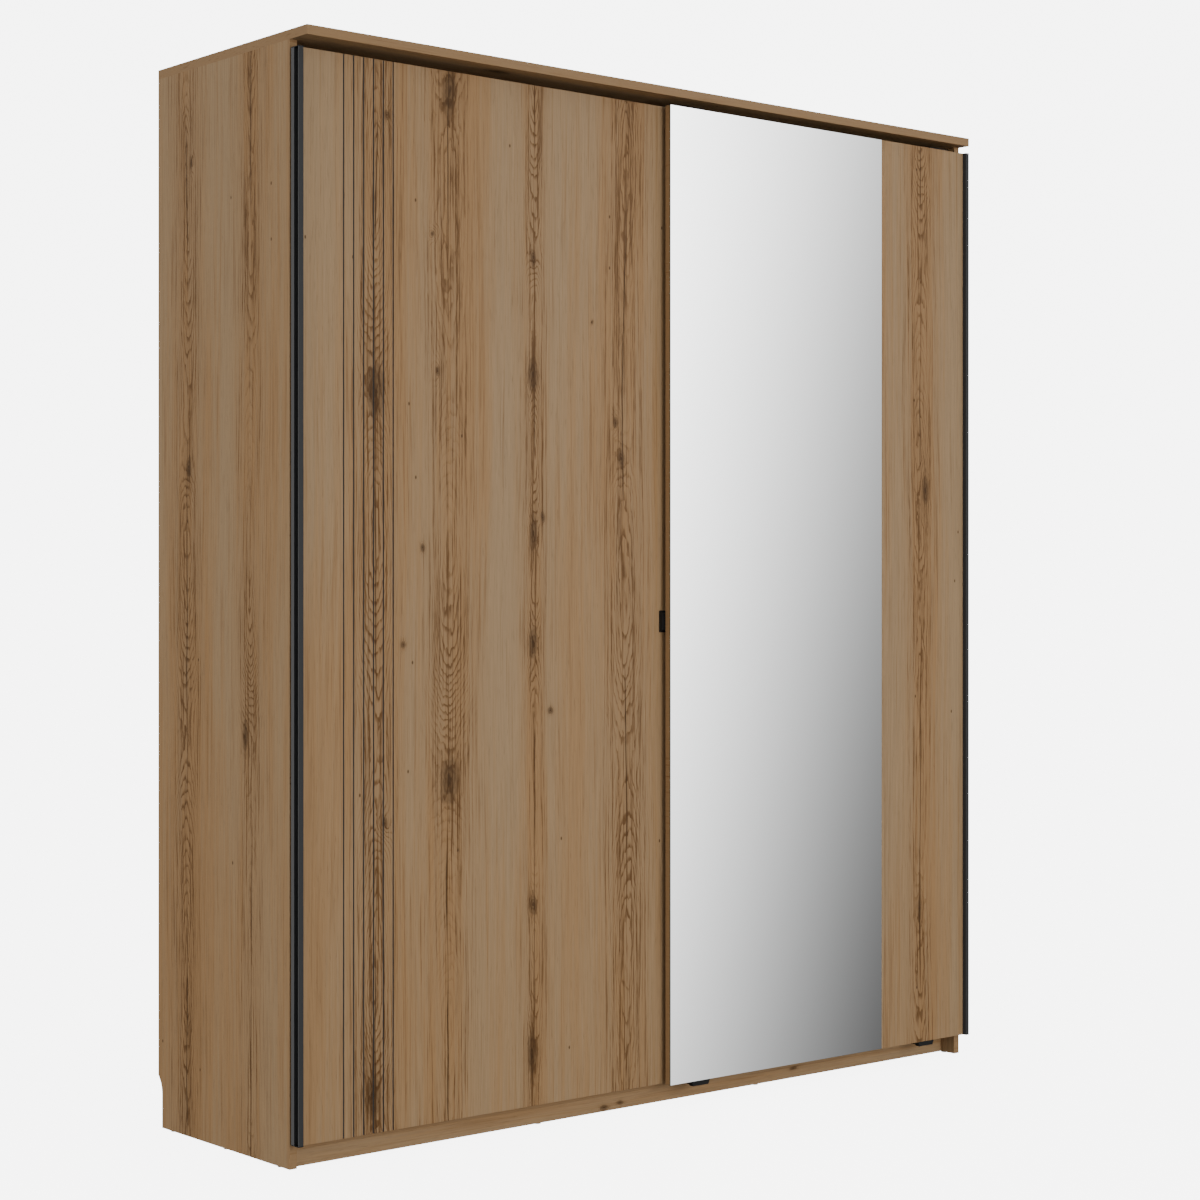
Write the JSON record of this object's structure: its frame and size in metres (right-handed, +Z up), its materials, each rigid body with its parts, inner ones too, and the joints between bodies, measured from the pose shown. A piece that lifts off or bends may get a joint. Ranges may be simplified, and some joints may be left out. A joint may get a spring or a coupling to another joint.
{
  "type": "sliding door wardrobe",
  "caption": "Wardrobe with two overlapping sliding doors on a top track, one grooved, one with a tall mirror; oak decor carcass, hanging rail, shelves.",
  "frame": {"origin": "on the floor, at the middle of the outer box in X and Y; Z = 0 is the underside of the glides", "axes": "+X along the front to the viewer's right, +Y to the wall, +Z up; the doors are on the -Y side"},
  "size_m": [1.8, 0.535, 2.1],
  "materials": {
    "oak_board": "satin knotty oak decor on chipboard, grain in relief",
    "back_board": "painted hardboard, matt",
    "white_plastic": "extruded, matt",
    "zinc_steel": "zinc plated",
    "chrome": "polished",
    "raw_aluminium": "mill finish, extruded",
    "graphite_aluminium": "anodised graphite, satin",
    "beech": "raw fluted beech",
    "mirror_glass": "silvered float glass",
    "wheel_plastic": "white nylon",
    "black_plastic": "moulded, matt"
  },
  "bodies": {
    "carcass": {"side_left": "oak_board", "side_right": "oak_board", "top_panel": "oak_board", "carcass_top": "oak_board", "bottom_panel": "oak_board", "partition": "oak_board", "plinth_front": "oak_board", "plinth_rear": "oak_board", "plinth_mid": "oak_board", "top_stretcher": "oak_board", "back_left": "back_board", "back_right": "back_board", "back_joint_strip": "white_plastic", "hat_shelf_left": "oak_board", "hat_shelf_right": "oak_board", "shelf_1": "oak_board", "shelf_2": "oak_board", "shelf_3": "oak_board", "shelf_4": "oak_board", "shelf_pins": "zinc_steel", "hanging_rail": "chrome", "rail_sockets": "chrome", "top_track": "raw_aluminium", "bottom_guide_rail": "raw_aluminium", "track_stops": "black_plastic", "track_screws": "zinc_steel", "cam_locks": "zinc_steel", "cam_bolts": "zinc_steel", "dowels": "beech", "glides": "black_plastic", "wall_brackets": "zinc_steel", "bracket_screws": "zinc_steel"},
    "left_door": {"left_door_board": "oak_board", "left_handle": "graphite_aluminium", "left_handle_caps": "black_plastic", "left_hangers": "zinc_steel", "left_axles": "zinc_steel", "left_door_screws": "zinc_steel", "left_guides": "black_plastic", "left_bumper": "black_plastic"},
    "right_door": {"right_door_board": "oak_board", "right_handle": "graphite_aluminium", "right_handle_caps": "black_plastic", "right_hangers": "zinc_steel", "right_axles": "zinc_steel", "right_door_screws": "zinc_steel", "right_guides": "black_plastic", "mirror_panel": "mirror_glass"},
    "left_wheel_1": {"left_wheel_1": "wheel_plastic"},
    "left_wheel_2": {"left_wheel_2": "wheel_plastic"},
    "right_wheel_1": {"right_wheel_1": "wheel_plastic"},
    "right_wheel_2": {"right_wheel_2": "wheel_plastic"}
  },
  "joints": [
    {"name": "left_door_slide", "type": "slide", "parent": "carcass", "child": "left_door", "axis": [1, 0, 0], "range_m": [0, 0.87]},
    {"name": "right_door_slide", "type": "slide", "parent": "carcass", "child": "right_door", "axis": [-1, 0, 0], "range_m": [0, 0.87]},
    {"name": "left_wheel_1_turn", "type": "hinge", "parent": "left_door", "child": "left_wheel_1", "pos_m": [-0.825, -0.189, 2.0483], "axis": [0, 1, 0], "range_deg": [-5, 4157]},
    {"name": "left_wheel_2_turn", "type": "hinge", "parent": "left_door", "child": "left_wheel_2", "pos_m": [-0.07, -0.189, 2.0483], "axis": [0, 1, 0], "range_deg": [-5, 4157]},
    {"name": "right_wheel_1_turn", "type": "hinge", "parent": "right_door", "child": "right_wheel_1", "pos_m": [0.07, -0.165, 2.0483], "axis": [0, -1, 0], "range_deg": [-5, 4157]},
    {"name": "right_wheel_2_turn", "type": "hinge", "parent": "right_door", "child": "right_wheel_2", "pos_m": [0.825, -0.165, 2.0483], "axis": [0, -1, 0], "range_deg": [-5, 4157]}
  ],
  "couplings": [
    {"joint": "left_wheel_1_turn", "follows": "left_door_slide", "rad_per_m": 83.333},
    {"joint": "left_wheel_2_turn", "follows": "left_door_slide", "rad_per_m": 83.333},
    {"joint": "right_wheel_1_turn", "follows": "right_door_slide", "rad_per_m": 83.333},
    {"joint": "right_wheel_2_turn", "follows": "right_door_slide", "rad_per_m": 83.333}
  ]
}
